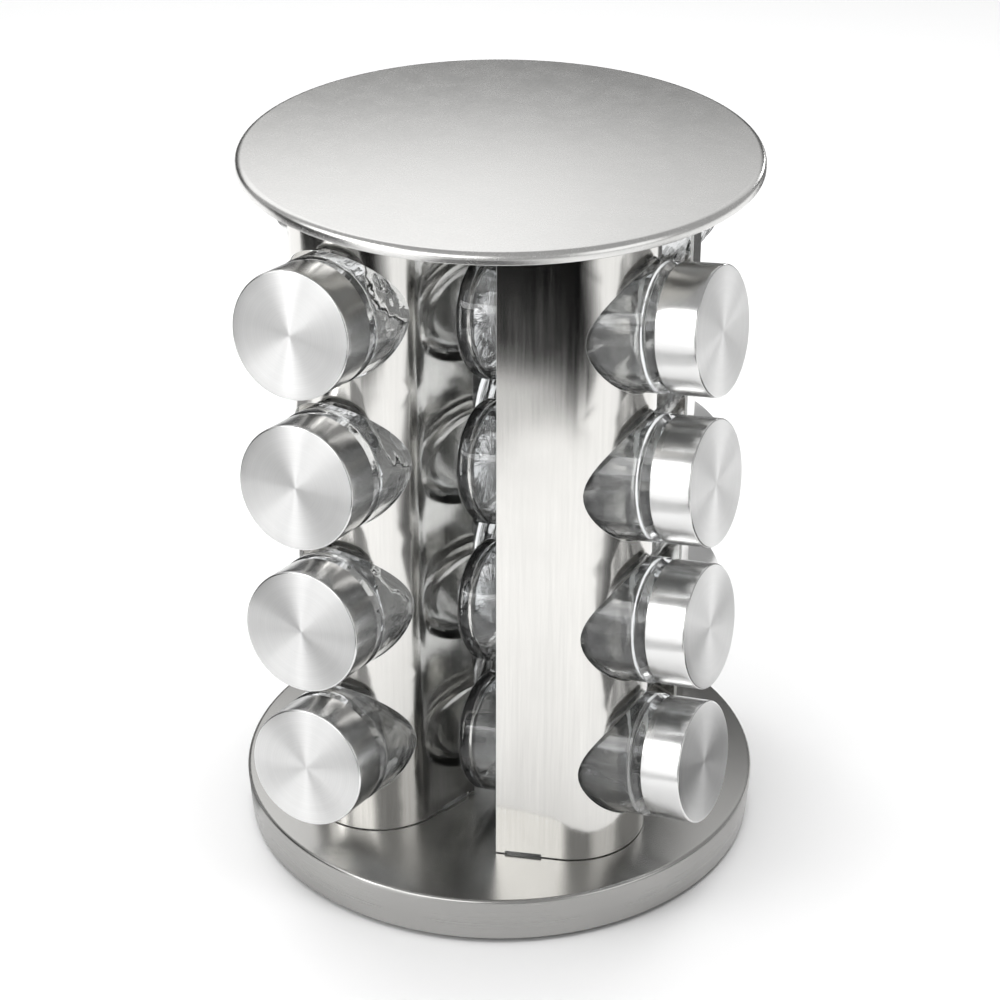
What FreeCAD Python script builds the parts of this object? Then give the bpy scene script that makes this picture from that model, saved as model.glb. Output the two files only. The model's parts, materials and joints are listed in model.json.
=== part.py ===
import FreeCAD
import Part
import Sketcher
import math
import os

# Spice carousel: four sheet-steel towers stand on a round dish that turns on a ball bearing, and a
# round lid covers their tops.  Each tower holds four glass jars, which lie nose up in round holes.
# Frame: +Z up, origin on the table under the turning axis, tower 1 faces +X.  Millimetres.

doc = FreeCAD.newDocument("SpiceCarousel")

# ---------------------------------------------------------------- driving dimensions
DIMENSIONS = {
    # turning base
    "foot_height": 2.5, "foot_radius": 9.0, "foot_circle": 70.0, "foot_stem": 3.0,
    "foot_head": 4.6, "foot_head_height": 1.4,
    "plate_radius": 84.0, "plate_thick": 1.5, "plate_lip": 5.0,
    "race_inner": 38.0, "race_outer": 52.0, "race_circle": 45.0, "race_floor": 8.6,
    "race_ceiling": 14.4, "ball_radius": 4.0, "ball_height": 11.5, "ball_play": 0.2,
    "race_play": 0.3, "hub_radius": 6.0, "hub_play": 0.05, "hub_flange": 10.0,
    "hub_flange_thick": 1.2, "hub_bore": 4.6,
    # dish
    "dish_rim": 101.3, "dish_foot": 100.0, "dish_gap": 2.0, "dish_top": 20.0, "dish_thick": 1.0,
    "dish_corner": 1.6, "dish_hem": 1.6,
    # lid and the plate under it
    "lid_radius": 95.0, "lid_foot": 274.2, "lid_top": 278.4, "lid_thick": 0.9, "lid_corner": 2.6,
    "carrier_thick": 1.0, "carrier_play": 2.2,
    "tower_top": 274.6,
    # tower
    "tower_centre": 46.0, "tower_offset": -29.3, "tower_radius": 28.2, "tower_rear": 31.0,
    "tower_flare": 16.5, "sheet": 1.0, "notch_start": 3.5, "notch_length": 14.0,
    "notch_rise": 1.0, "lug_length": 10.0, "lug_depth": 7.0,
    "hole_radius": 24.4, "hole_lowest": 59.2, "hole_pitch": 59.0,
    # jar and cap
    "jar_tilt": 8.0, "jar_rear": 8.2, "glass_radius": 23.2, "glass_wall": 2.3, "glass_floor": 3.2,
    "glass_corner": 3.4, "glass_kick": 1.2, "shoulder_start": 74.0, "shoulder_end": 77.2,
    "neck_radius": 20.2, "neck_bore": 17.9, "neck_end": 91.0, "thread_crest": 0.8,
    "thread_rise": 1.6, "thread_first": 81.2, "thread_step": 3.9,
    "cap_start": 77.8, "cap_end": 93.2, "cap_radius": 23.0, "cap_sheet": 0.5, "cap_edge": 0.7,
    "liner_wall": 1.2, "liner_disc": 1.2, "liner_setback": 1.0,
}

sheet = doc.addObject("Spreadsheet::Sheet", "Dimensions")
for row, (alias, value) in enumerate(DIMENSIONS.items(), start=1):
    sheet.set(f"A{row}", alias)
    sheet.set(f"B{row}", str(value))
    sheet.setAlias(f"B{row}", alias)
doc.recompute()


class Cells:
    """Reads a driving dimension from the sheet by its alias."""

    def __getattr__(self, alias):
        return float(sheet.get(alias))


dim = Cells()
PARTS = []
TOWERS = (1, 2, 3, 4)
LEVELS = "abcd"          # a is the top jar of a tower, d the lowest


def bound(text):
    """An expression whose sheet aliases are written as plain words."""
    words = sorted(DIMENSIONS, key=len, reverse=True)
    out = ""
    position = 0
    while position < len(text):
        hit = next((w for w in words if text.startswith(w, position)), None)
        if hit:
            out += "Dimensions." + hit
            position += len(hit)
        else:
            out += text[position]
            position += 1
    return out


def bind(item, **values):
    for name, text in values.items():
        item.setExpression(name.replace("__", "."), bound(text))
    return item


def keep(item, label):
    item.Label = label
    PARTS.append(item)
    return item


def turned(angle, base=FreeCAD.Vector(0, 0, 0)):
    about_z = FreeCAD.Rotation(FreeCAD.Vector(0, 0, 1), angle)
    return FreeCAD.Placement(about_z.multVec(base), about_z)


# ---------------------------------------------------------------- sketch and body helpers
def plane_of(body, role):
    return next(f for f in body.Origin.OriginFeatures if f.Role == role)


def value_of(text):
    """The present value of an expression, worked out from the sheet."""
    return float(sheet.evalExpression(bound(text)))


def polygon(body, role, points):
    """A closed polygon whose corners are bound, each as (across, up) expressions."""
    sketch = body.newObject("Sketcher::SketchObject", body.Name + "Profile")
    sketch.AttachmentSupport = [(plane_of(body, role), "")]
    sketch.MapMode = "FlatFace"
    corners = [FreeCAD.Vector(value_of(x), value_of(y), 0) for x, y in points]
    count = len(corners)
    for n in range(count):
        sketch.addGeometry(Part.LineSegment(corners[n], corners[(n + 1) % count]), False)
    for n in range(count):
        sketch.addConstraint(Sketcher.Constraint("Coincident", n, 2, (n + 1) % count, 1))
    for n, (across, up) in enumerate(points):
        for kind, text, axis in (("DistanceX", across, -2), ("DistanceY", up, -1)):
            if text == "0":
                sketch.addConstraint(Sketcher.Constraint("PointOnObject", n, 1, axis))
                continue
            value = corners[n].x if kind == "DistanceX" else corners[n].y
            index = sketch.addConstraint(Sketcher.Constraint(kind, -1, 1, n, 1, value))
            sketch.setExpression(f"Constraints[{index}]", bound(text))
    return sketch


def revolved(name, points):
    """A body turned about its own Z axis from a bound half section of (radius, height)."""
    body = doc.addObject("PartDesign::Body", name)
    sketch = polygon(body, "XZ_Plane", points)
    turn = body.newObject("PartDesign::Revolution", name + "Turn")
    turn.Profile = sketch
    turn.ReferenceAxis = (sketch, ["V_Axis"])
    turn.Angle = 360.0
    doc.recompute()
    return body


def rounded(body, radius, height, size):
    """Rounds the circular edge at a radius and height."""
    base = body.Tip
    names = []
    for n, edge in enumerate(base.Shape.Edges, start=1):
        curve = edge.Curve
        if not isinstance(curve, Part.Circle):
            continue
        if abs(curve.Radius - radius) < 0.02 and abs(curve.Center.z - height) < 0.02:
            names.append(f"Edge{n}")
    fillet = body.newObject("PartDesign::Fillet", body.Name + "Fillet")
    fillet.Base = (base, names)
    fillet.setExpression("Radius", bound(size))
    doc.recompute()


# ---------------------------------------------------------------- turntable
def build_foot_plate():
    groove = "ball_radius + ball_play"
    body = revolved("FootPlate", [
        ("hub_radius + hub_play", "foot_height"),
        ("plate_radius", "foot_height"),
        ("plate_radius", "foot_height + plate_lip"),
        ("plate_radius - plate_thick", "foot_height + plate_lip"),
        ("plate_radius - plate_thick", "foot_height + plate_thick"),
        ("race_outer", "foot_height + plate_thick"),
        ("race_outer", "race_floor"),
        ("race_inner", "race_floor"),
        ("race_inner", "foot_height + plate_thick"),
        ("hub_radius + hub_play", "foot_height + plate_thick")])
    ring = doc.addObject("Part::Torus", "LowerGroove")
    bind(ring, Radius1="race_circle", Radius2=groove, Placement__Base__z="ball_height")
    cutters = [ring]
    for n in range(4):
        stem_hole = doc.addObject("Part::Cylinder", f"StemHole{n + 1}")
        bind(stem_hole, Radius="foot_stem", Height="foot_height + 2 * plate_thick")
        stem_hole.Placement = turned(45 + 90 * n, FreeCAD.Vector(dim.foot_circle, 0, 0))
        cutters.append(stem_hole)
    tools = doc.addObject("Part::MultiFuse", "FootPlateCutters")
    tools.Shapes = cutters
    plate = doc.addObject("Part::Cut", "FootPlateCut")
    plate.Base = body
    plate.Tool = tools
    keep(plate, "foot_plate")


def build_rubber_feet():
    feet = []
    for n in range(4):
        pieces = []
        for size in (("foot_radius", "foot_height", "0"),
                     ("foot_stem", "plate_thick + 0.2", "foot_height - 0.1"),
                     ("foot_head", "foot_head_height", "foot_height + plate_thick")):
            pad = doc.addObject("Part::Cylinder", f"Foot{n + 1}Part{len(pieces) + 1}")
            bind(pad, Radius=size[0], Height=size[1], Placement__Base__z=size[2])
            pieces.append(pad)
        foot = doc.addObject("Part::MultiFuse", f"Foot{n + 1}")
        foot.Shapes = pieces
        foot.Placement = turned(45 + 90 * n, FreeCAD.Vector(dim.foot_circle, 0, 0))
        feet.append(foot)
    group = doc.addObject("Part::Compound", "RubberFeet")
    group.Links = feet
    keep(group, "rubber_feet")


def build_bearing_balls(count=18):
    balls = []
    for n in range(count):
        ball = doc.addObject("Part::Sphere", f"Ball{n + 1}")
        bind(ball, Radius="ball_radius")
        spot = FreeCAD.Vector(dim.race_circle, 0, dim.ball_height)
        ball.Placement = turned(360.0 * n / count, spot)
        balls.append(ball)
    group = doc.addObject("Part::Compound", "BearingBalls")
    group.Links = balls
    keep(group, "bearing_balls")


def build_upper_race():
    under_dish = "dish_top - dish_thick"
    body = revolved("UpperRace", [
        ("hub_radius", under_dish),
        ("hub_radius", under_dish + " - plate_thick"),
        ("race_inner", under_dish + " - plate_thick"),
        ("race_inner", "race_ceiling"),
        ("race_outer", "race_ceiling"),
        ("race_outer", under_dish + " - plate_thick"),
        ("race_outer + 10", under_dish + " - plate_thick"),
        ("race_outer + 10", under_dish)])
    ring = doc.addObject("Part::Torus", "UpperGroove")
    bind(ring, Radius1="race_circle", Radius2="ball_radius + race_play",
         Placement__Base__z="ball_height")
    race = doc.addObject("Part::Cut", "UpperRaceCut")
    race.Base = body
    race.Tool = ring
    keep(race, "bearing_upper_race")


def build_hub():
    flange_top = "foot_height - race_play"
    under_dish = "dish_top - dish_thick"
    body = revolved("HubEyelet", [
        ("hub_bore", flange_top + " - hub_flange_thick"),
        ("hub_flange", flange_top + " - hub_flange_thick"),
        ("hub_flange", flange_top),
        ("hub_radius", flange_top),
        ("hub_radius", under_dish),
        ("hub_bore", under_dish)])
    keep(body, "hub_eyelet")


# ---------------------------------------------------------------- dish, lid and carrier
def build_dish():
    body = revolved("BaseDish", [
        ("0", "dish_top - dish_thick"),
        ("dish_rim - dish_thick", "dish_top - dish_thick"),
        ("dish_foot - dish_thick", "dish_gap + dish_hem"),
        ("dish_foot - dish_hem", "dish_gap + dish_hem"),
        ("dish_foot - dish_hem", "dish_gap"),
        ("dish_foot", "dish_gap"),
        ("dish_rim", "dish_top"),
        ("0", "dish_top")])
    rounded(body, dim.dish_rim, dim.dish_top, "dish_corner")
    rounded(body, dim.dish_rim - dim.dish_thick, dim.dish_top - dim.dish_thick,
            "dish_corner - dish_thick")
    keep(body, "base_dish")


def build_carrier():
    rim = "lid_radius - lid_thick - carrier_play"
    under_lid = "lid_top - lid_thick"
    body = revolved("TopCarrier", [
        ("0", "tower_top"),
        (rim, "tower_top"),
        (rim, under_lid),
        (rim + " - carrier_thick", under_lid),
        (rim + " - carrier_thick", "tower_top + carrier_thick"),
        ("0", "tower_top + carrier_thick")])
    keep(body, "top_carrier")


def build_lid():
    body = revolved("Lid", [
        ("0", "lid_top - lid_thick"),
        ("lid_radius - lid_thick", "lid_top - lid_thick"),
        ("lid_radius - lid_thick", "lid_foot"),
        ("lid_radius", "lid_foot"),
        ("lid_radius", "lid_top"),
        ("0", "lid_top")])
    rounded(body, dim.lid_radius, dim.lid_top, "lid_corner")
    rounded(body, dim.lid_radius - dim.lid_thick, dim.lid_top - dim.lid_thick,
            "lid_corner - lid_thick")
    keep(body, "lid")


# ---------------------------------------------------------------- towers
def build_tower(number):
    """One bent sheet: a rounded front, two walls that flare towards the open rear, four holes."""
    tag = f"Tower{number}"
    height = "tower_top - dish_top"
    arc = "180 - 2 * tower_flare"

    def solid(kind, name, **values):
        return bind(doc.addObject("Part::" + kind, tag + name), **values)

    outer = solid("Cylinder", "Front", Radius="tower_radius", Height=height, Angle=arc)
    inner = solid("Cylinder", "FrontInside", Radius="tower_radius - sheet", Height=height,
                  Angle=arc)
    front = doc.addObject("Part::Cut", tag + "FrontSheet")
    front.Base = outer
    front.Tool = inner
    start = FreeCAD.Vector(dim.tower_centre, dim.tower_offset, dim.dish_top)
    spin = FreeCAD.Rotation(FreeCAD.Vector(0, 0, 1), dim.tower_flare - 90)
    front.Placement = FreeCAD.Placement(start, spin)

    flare = math.radians(dim.tower_flare)
    bend = FreeCAD.Vector(math.sin(flare), math.cos(flare), 0) * dim.tower_radius
    run = (dim.tower_centre + bend.x - dim.tower_rear) / math.cos(flare)
    notch_size = dict(Width="3 * sheet", Length="notch_length", Height="notch_rise")
    lug_size = dict(Width="lug_depth", Length="lug_length", Height="sheet")
    sheets = [front]
    notches = []
    for side, name in ((1, "Left"), (-1, "Right")):
        at_bend = start + FreeCAD.Vector(bend.x, side * bend.y, 0)
        back = FreeCAD.Vector(-math.cos(flare), side * math.sin(flare), 0)
        inward = FreeCAD.Vector(-math.sin(flare), -side * math.cos(flare), 0)
        rear = at_bend + back * run
        ahead = FreeCAD.Rotation(FreeCAD.Vector(0, 0, 1), -side * dim.tower_flare)

        def along(distance, depth, rise, width):
            """Placement of a box that starts at a distance from the rear edge."""
            corner = rear - back * distance + inward * depth
            if side > 0:
                corner = corner + inward * width
            return FreeCAD.Placement(corner + FreeCAD.Vector(0, 0, rise), ahead)

        wall = solid("Box", "Wall" + name, Width="sheet", Height=height)
        wall.Length = run
        wall.Placement = along(0, 0, 0, dim.sheet)
        sheets.append(wall)
        for rise, end in ((0, "Low"), (dim.tower_top - dim.dish_top - dim.sheet, "High")):
            lug = solid("Box", "Lug" + name + end, **lug_size)
            lug.Placement = along(run / 3, 0, rise, dim.lug_depth)
            sheets.append(lug)
        notch = solid("Box", "Notch" + name, **notch_size)
        notch.Placement = along(dim.notch_start, -dim.sheet, 0, 3 * dim.sheet)
        notches.append(notch)
    whole = doc.addObject("Part::MultiFuse", tag + "Sheet")
    whole.Shapes = sheets

    holes = []
    for n, level in enumerate(reversed(LEVELS)):
        hole = solid("Cylinder", "Hole" + level, Radius="hole_radius", Height="2 * tower_radius")
        spot = FreeCAD.Vector(dim.tower_centre, dim.tower_offset,
                              dim.hole_lowest + n * dim.hole_pitch)
        hole.Placement = FreeCAD.Placement(spot, FreeCAD.Rotation(FreeCAD.Vector(0, 1, 0), 90))
        holes.append(hole)
    cutters = doc.addObject("Part::MultiFuse", tag + "Cutters")
    cutters.Shapes = holes + notches
    tower = doc.addObject("Part::Cut", tag)
    tower.Base = whole
    tower.Tool = cutters
    tower.Placement = turned(90 * (number - 1))
    keep(tower, f"tower_{number}")


# ---------------------------------------------------------------- jars
def jar_placement(number, level):
    """Local +Z runs along the jar from its base to its mouth."""
    tilt = math.radians(dim.jar_tilt)
    front = dim.tower_centre + dim.tower_radius
    rise = dim.hole_lowest + (len(LEVELS) - 1 - LEVELS.index(level)) * dim.hole_pitch
    base = FreeCAD.Vector(dim.jar_rear, dim.tower_offset,
                          rise - (front - dim.jar_rear) * math.tan(tilt))
    lean = FreeCAD.Rotation(FreeCAD.Vector(0, 1, 0), 90 - dim.jar_tilt)
    about_z = FreeCAD.Rotation(FreeCAD.Vector(0, 0, 1), 90 * (number - 1))
    return FreeCAD.Placement(about_z.multVec(base), about_z.multiply(lean))


def build_jar_glass(number, level):
    name = f"JarGlass{number}{level}"
    crest = "neck_radius + thread_crest"
    points = [
        ("0", "glass_kick"),
        ("glass_radius / 2", "glass_kick"),
        ("glass_radius - glass_corner", "0"),
        ("glass_radius", "glass_corner"),
        ("glass_radius", "shoulder_start"),
        ("neck_radius", "shoulder_end")]
    for turn in range(2):
        low = f"thread_first + {turn} * thread_step"
        points += [
            ("neck_radius", low),
            (crest, low + " + thread_rise * 0.35"),
            (crest, low + " + thread_rise * 0.65"),
            ("neck_radius", low + " + thread_rise")]
    points += [
        ("neck_radius", "neck_end"),
        ("neck_bore", "neck_end"),
        ("neck_bore", "shoulder_end"),
        ("glass_radius - glass_wall", "shoulder_start - glass_wall / 2"),
        ("glass_radius - glass_wall", "glass_floor + glass_corner"),
        ("glass_radius - glass_wall - glass_corner", "glass_floor"),
        ("0", "glass_floor + glass_kick")]
    body = revolved(name, points)
    body.Placement = jar_placement(number, level)
    keep(body, f"jar_{number}{level}_glass")


def build_cap_shell(number, level):
    body = revolved(f"CapShell{number}{level}", [
        ("0", "cap_end"),
        ("0", "cap_end - cap_sheet"),
        ("cap_radius - cap_sheet", "cap_end - cap_sheet"),
        ("cap_radius - cap_sheet", "cap_start"),
        ("cap_radius", "cap_start"),
        ("cap_radius", "cap_end - cap_edge"),
        ("cap_radius - cap_edge", "cap_end")])
    body.Placement = jar_placement(number, level)
    keep(body, f"jar_{number}{level}_cap_shell")


def build_cap_liner(number, level):
    inside = "cap_radius - cap_sheet"
    body = revolved(f"CapLiner{number}{level}", [
        ("0", "cap_end - cap_sheet - liner_disc"),
        ("cap_radius - cap_sheet - liner_wall", "cap_end - cap_sheet - liner_disc"),
        ("cap_radius - cap_sheet - liner_wall", "cap_start + liner_setback"),
        (inside, "cap_start + liner_setback"),
        (inside, "cap_end - cap_sheet"),
        ("0", "cap_end - cap_sheet")])
    body.Placement = jar_placement(number, level)
    keep(body, f"jar_{number}{level}_cap_liner")


# ---------------------------------------------------------------- build, check and write
build_foot_plate()
build_rubber_feet()
build_bearing_balls()
build_upper_race()
build_hub()
build_dish()
build_carrier()
build_lid()
for tower_number in TOWERS:
    build_tower(tower_number)
for tower_number in TOWERS:
    for jar_level in LEVELS:
        build_jar_glass(tower_number, jar_level)
        build_cap_shell(tower_number, jar_level)
        build_cap_liner(tower_number, jar_level)
doc.recompute()

for item in doc.Objects:
    if "Invalid" in item.State or "Error" in item.State:
        raise RuntimeError(f"{item.Label} failed to compute: {item.State}")
for item in PARTS:
    if item.Shape.isNull() or not item.Shape.isValid():
        raise RuntimeError(f"{item.Label} has no valid shape")

os.makedirs("parts", exist_ok=True)
for item in PARTS:
    item.Shape.exportStep(f"parts/{item.Label}.step")
    print(f"{item.Label}: {item.Shape.Volume / 1000:.2f} cm3, {len(item.Shape.Solids)} solid(s)")
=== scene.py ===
import json
import math

import bmesh
import bpy
from bpy.props import FloatProperty, FloatVectorProperty, IntProperty, PointerProperty
from bpy.types import Operator, Panel, PropertyGroup
from mathutils import Matrix, Vector, noise


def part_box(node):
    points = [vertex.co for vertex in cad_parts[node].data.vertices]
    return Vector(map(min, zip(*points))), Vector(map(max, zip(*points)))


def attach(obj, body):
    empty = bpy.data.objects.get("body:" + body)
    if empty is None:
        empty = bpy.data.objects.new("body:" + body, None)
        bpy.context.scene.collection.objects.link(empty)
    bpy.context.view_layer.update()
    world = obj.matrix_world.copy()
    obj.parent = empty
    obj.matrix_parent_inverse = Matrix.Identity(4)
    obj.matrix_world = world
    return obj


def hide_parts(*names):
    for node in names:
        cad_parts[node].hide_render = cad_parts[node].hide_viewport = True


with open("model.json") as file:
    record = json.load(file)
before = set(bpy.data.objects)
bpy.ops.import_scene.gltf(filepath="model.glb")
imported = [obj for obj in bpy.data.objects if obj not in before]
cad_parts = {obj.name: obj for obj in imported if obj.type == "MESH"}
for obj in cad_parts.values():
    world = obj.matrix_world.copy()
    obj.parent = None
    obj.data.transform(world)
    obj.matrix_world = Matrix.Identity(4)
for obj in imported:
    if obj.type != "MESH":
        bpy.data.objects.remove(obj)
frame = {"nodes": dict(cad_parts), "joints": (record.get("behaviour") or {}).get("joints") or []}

bl_info = {
    "name": "Spice carousel",
    "version": (1, 0, 0),
    "blender": (4, 5, 0),
    "location": "3D View > Sidebar > Carousel",
    "description": "Builds the visible pieces of a revolving spice rack around its fixed frame",
    "category": "Object",
}

MM = 0.001
TOWERS = (1, 2, 3, 4)
LEVELS = "abcd"
JOINTS = {joint["name"]: joint for joint in frame["joints"]}
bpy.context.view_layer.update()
LID_LOW, LID_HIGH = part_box("lid")
DISH_LOW, DISH_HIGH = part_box("base_dish")
TOWER_LOW, TOWER_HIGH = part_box("tower_1")


# ------------------------------------------------------------------ settings
def length_setting(name, description, millimetres):
    """A length setting, whose default is given in millimetres."""
    return FloatProperty(name=name, description=description, default=millimetres * MM,
                         unit="LENGTH")


def angle_setting(name, description, degrees):
    """An angle setting, whose default is given in degrees."""
    return FloatProperty(name=name, description=description, default=math.radians(degrees),
                         subtype="ANGLE")


def colour_setting(name, description, default):
    """A colour setting."""
    return FloatVectorProperty(name=name, description=description, default=default,
                               subtype="COLOR")


class SheetSettings(PropertyGroup):
    """Sizes of the bent towers."""

    foot_gap: length_setting("Foot gap", "Gap under the sheet's lower edge", 0.45)
    thickness: length_setting("Sheet thickness", "Thickness of the tower sheet", 1.0)
    radius: length_setting("Front radius", "Outer radius of a tower's front", 28.2)
    flare: angle_setting("Wall flare", "How far each side wall opens", 16.5)
    hole: length_setting("Hole radius", "Radius of a jar hole seen end on", 24.4)
    lowest: length_setting("Lowest hole", "Height of the lowest hole's centre", 59.2)
    pitch: length_setting("Hole pitch", "Height from one hole to the next", 59.0)
    notch_start: length_setting("Notch start", "From the rear edge to the notch", 3.5)
    notch_length: length_setting("Notch length", "Length of the foot notch", 14.0)
    notch_rise: length_setting("Notch rise", "Height of the foot notch", 1.0)
    edge: length_setting("Edge bevel", "Bevel along every cut edge", 0.45)


class JarSettings(PropertyGroup):
    """Sizes of a jar, measured along it from its base."""

    length: length_setting("Length to cap face", "From jar base to cap face", 93.2)
    radius: length_setting("Body radius", "Outer radius of the glass", 23.2)
    wall: length_setting("Wall", "Thickness of the glass wall", 2.3)
    shoulder: length_setting("Shoulder", "Where the shoulder starts", 74.0)
    neck: length_setting("Neck start", "Where the neck starts", 77.2)
    neck_radius: length_setting("Neck radius", "Outer radius of the neck", 20.2)
    bore: length_setting("Neck bore", "Inner radius of the mouth", 17.9)
    lip: length_setting("Lip", "Where the mouth ends", 91.0)
    ripple: length_setting("Ripple", "Unevenness of the inner glass wall", 0.13)
    sides: IntProperty(name="Sides", description="Faces around a jar", default=112, min=24)


class CapSettings(PropertyGroup):
    """Sizes of a cap, measured along the jar from the jar's base."""

    start: length_setting("Skirt end", "Where the skirt ends over the jar", 77.8)
    radius: length_setting("Radius", "Outer radius of the cap", 23.0)
    sheet: length_setting("Shell", "Thickness of the steel shell", 0.5)
    edge: length_setting("Edge", "Rounding of the face's rim", 0.7)
    liner: length_setting("Liner", "Thickness of the plastic liner", 1.2)
    sides: IntProperty(name="Sides", description="Faces around a cap", default=128, min=24)


class FinishSettings(PropertyGroup):
    """Colours of the finishes."""

    steel: colour_setting("Stainless steel", "Colour of the bare sheet", (0.74, 0.73, 0.705))
    dish_steel: colour_setting("Dish steel", "Colour of the base dish", (0.52, 0.515, 0.50))
    # The cut edges are set far brighter than the sheet they are cut from: a painted highlight along
    # every cut edge.
    edge_steel: colour_setting("Edge steel", "Colour of the cut edges", (0.93, 0.93, 0.91))
    # The dish's side is set darker than its top, though both are one pressing: painted shade on the
    # side.
    skirt_steel: colour_setting("Skirt steel", "Colour of the dish's side", (0.43, 0.425, 0.415))
    lid_steel: colour_setting("Lid steel", "Colour of the satin lid", (0.82, 0.815, 0.80))
    cap_steel: colour_setting("Cap steel", "Colour of the spun caps", (0.78, 0.78, 0.775))
    zinc: colour_setting("Zinc", "Colour of the turntable's plates", (0.48, 0.49, 0.50))
    glass: colour_setting("Glass", "Tint of the jars", (0.98, 0.988, 0.992))
    liner: colour_setting("Liner plastic", "Colour of the cap liners", (0.78, 0.78, 0.76))
    rubber: colour_setting("Rubber", "Colour of the feet", (0.018, 0.018, 0.018))
    floor: colour_setting("Floor", "Colour of the floor", (0.9, 0.9, 0.9))


class CameraSettings(PropertyGroup):
    """Where the camera stands."""

    azimuth: angle_setting("Azimuth", "Turn about the rack's axis", 27.0)
    elevation: angle_setting("Elevation", "Height above the horizon", 28.76)
    distance: FloatProperty(name="Distance", description="From the aim point",
                            default=1.040, unit="LENGTH")
    aim: length_setting("Aim height", "Height of the aim point", 134.6)
    lens: FloatProperty(name="Lens", description="Focal length in millimetres", default=97.74)
    roll: angle_setting("Roll", "Turn about the line of sight", 0.1)


# ------------------------------------------------------------------ mesh helpers
def rounded_outline(points, steps=6):
    """(radius, height, rounding) corners as a plain outline with an arc at each rounded corner."""
    outline = []
    last = len(points) - 1
    for n, (across, up, size) in enumerate(points):
        here = Vector((across, up))
        if size <= 0 or n in (0, last):
            outline.append(here)
            continue
        to_before = (Vector(points[n - 1][:2]) - here).normalized()
        to_after = (Vector(points[n + 1][:2]) - here).normalized()
        half = to_before.angle(to_after) / 2
        reach = size / math.tan(half)
        centre = here + (to_before + to_after).normalized() * (size / math.sin(half))
        start = here + to_before * reach - centre
        sweep = start.angle_signed(here + to_after * reach - centre)
        for k in range(steps + 1):
            turn = Matrix.Rotation(-sweep * k / steps, 2)
            outline.append(centre + turn @ start)
    return outline


def turned_mesh(name, outline, sides, place=Matrix.Identity(4), shape=None):
    """A turned solid, whose outline runs from axis to axis, with its UV map: once round in U,
    tenths of a metre along the outline in V. shape(angle, radius, height) may change a radius."""
    mesh = bpy.data.meshes.new(name)
    bm = bmesh.new()
    rings = []
    run = [0.0]
    for before, after in zip(outline, outline[1:]):
        run.append(run[-1] + (Vector(after) - Vector(before)).length)
    for radius, height in outline:
        if radius < 1e-7:
            rings.append([bm.verts.new((0, 0, height))])
            continue
        ring = []
        for side in range(sides):
            angle = 2 * math.pi * side / sides
            r = shape(angle, radius, height) if shape else radius
            ring.append(bm.verts.new((r * math.cos(angle), r * math.sin(angle), height)))
        rings.append(ring)
    uv = bm.loops.layers.uv.new("turn")
    for low, (a, b) in enumerate(zip(rings, rings[1:])):
        high = low + 1
        for side in range(sides):
            after = (side + 1) % sides
            corners = []
            for ring, at, where in ((a, side, low), (a, after, low), (b, after, high),
                                    (b, side, high)):
                vert = ring[at % len(ring)]
                around = (side + 1 if at == after else side) / sides
                if corners and corners[-1][0] is vert:
                    continue
                corners.append((vert, around, run[where]))
            if corners[0][0] is corners[-1][0]:
                corners.pop()
            face = bm.faces.new([vert for vert, _, _ in corners])
            face.smooth = True
            for loop, (_, around, along) in zip(face.loops, corners):
                loop[uv].uv = (around, along * 10)
    bmesh.ops.recalc_face_normals(bm, faces=bm.faces[:])
    bm.to_mesh(mesh)
    bm.free()
    mesh.transform(place)
    return mesh


def add_object(name, mesh, finishes, body, node):
    """Puts a finished mesh in the scene with its materials, on its body, in place of its node."""
    piece = bpy.data.objects.new(name, mesh)
    bpy.context.scene.collection.objects.link(piece)
    for finish in finishes:
        mesh.materials.append(MATERIALS[finish])
    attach(piece, body)
    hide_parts(node)
    return piece


def sharpen(mesh, degrees=32):
    """Smooth shading that breaks at corners sharper than the angle."""
    mesh.shade_smooth()
    mesh.set_sharp_from_angle(angle=math.radians(degrees))


def tower_turn(number):
    """Turns tower 1 about the rack's axis to where the numbered tower stands."""
    return Matrix.Rotation(math.radians(90 * (number - 1)), 4, "Z")


def jar_place(number, level):
    """Local +Z runs along the jar from the middle of its base to its mouth."""
    low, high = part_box(f"jar_{number}{level}_cap_shell")
    caps = bpy.context.scene.carousel_caps
    jars = bpy.context.scene.carousel_jars
    axis = Vector(JOINTS[f"jar_{number}{level}_pull"]["axis"]).normalized()
    base = (low + high) / 2 - axis * (caps.start + jars.length) / 2
    turn = axis.to_track_quat("Z", "Y").to_matrix().to_4x4()
    return Matrix.Translation(base) @ turn


# ------------------------------------------------------------------ shader helpers
class Tree:
    """Short ways to add and link nodes."""

    def __init__(self, tree):
        self.tree = tree
        self.nodes = tree.nodes
        self.nodes.clear()

    def add(self, kind, **values):
        node = self.nodes.new("ShaderNode" + kind)
        for name, value in values.items():
            setattr(node, name, value)
        return node

    def link(self, source, target):
        self.tree.links.new(source, target)

    def math(self, operation, a, b=0.0):
        node = self.add("Math", operation=operation)
        for socket, value in zip(node.inputs, (a, b)):
            if isinstance(value, (int, float)):
                socket.default_value = value
            else:
                self.link(value, socket)
        return node.outputs[0]

    def ramp(self, fac, stops):
        node = self.add("ValToRGB")
        while len(node.color_ramp.elements) < len(stops):
            node.color_ramp.elements.new(0.5)
        for element, (position, value) in zip(node.color_ramp.elements, stops):
            element.position = position
            element.color = (value, value, value, 1)
        self.link(fac, node.inputs[0])
        return node.outputs[0]

    def mix(self, fac, a, b, blend="MIX"):
        node = self.add("Mix", data_type="RGBA", blend_type=blend)
        for socket, value in ((node.inputs[0], fac), (node.inputs[6], a), (node.inputs[7], b)):
            if isinstance(value, (int, float)):
                socket.default_value = value
            elif isinstance(value, (tuple, list)):
                socket.default_value = (*value[:3], 1)
            else:
                self.link(value, socket)
        return node.outputs[2]


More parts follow.
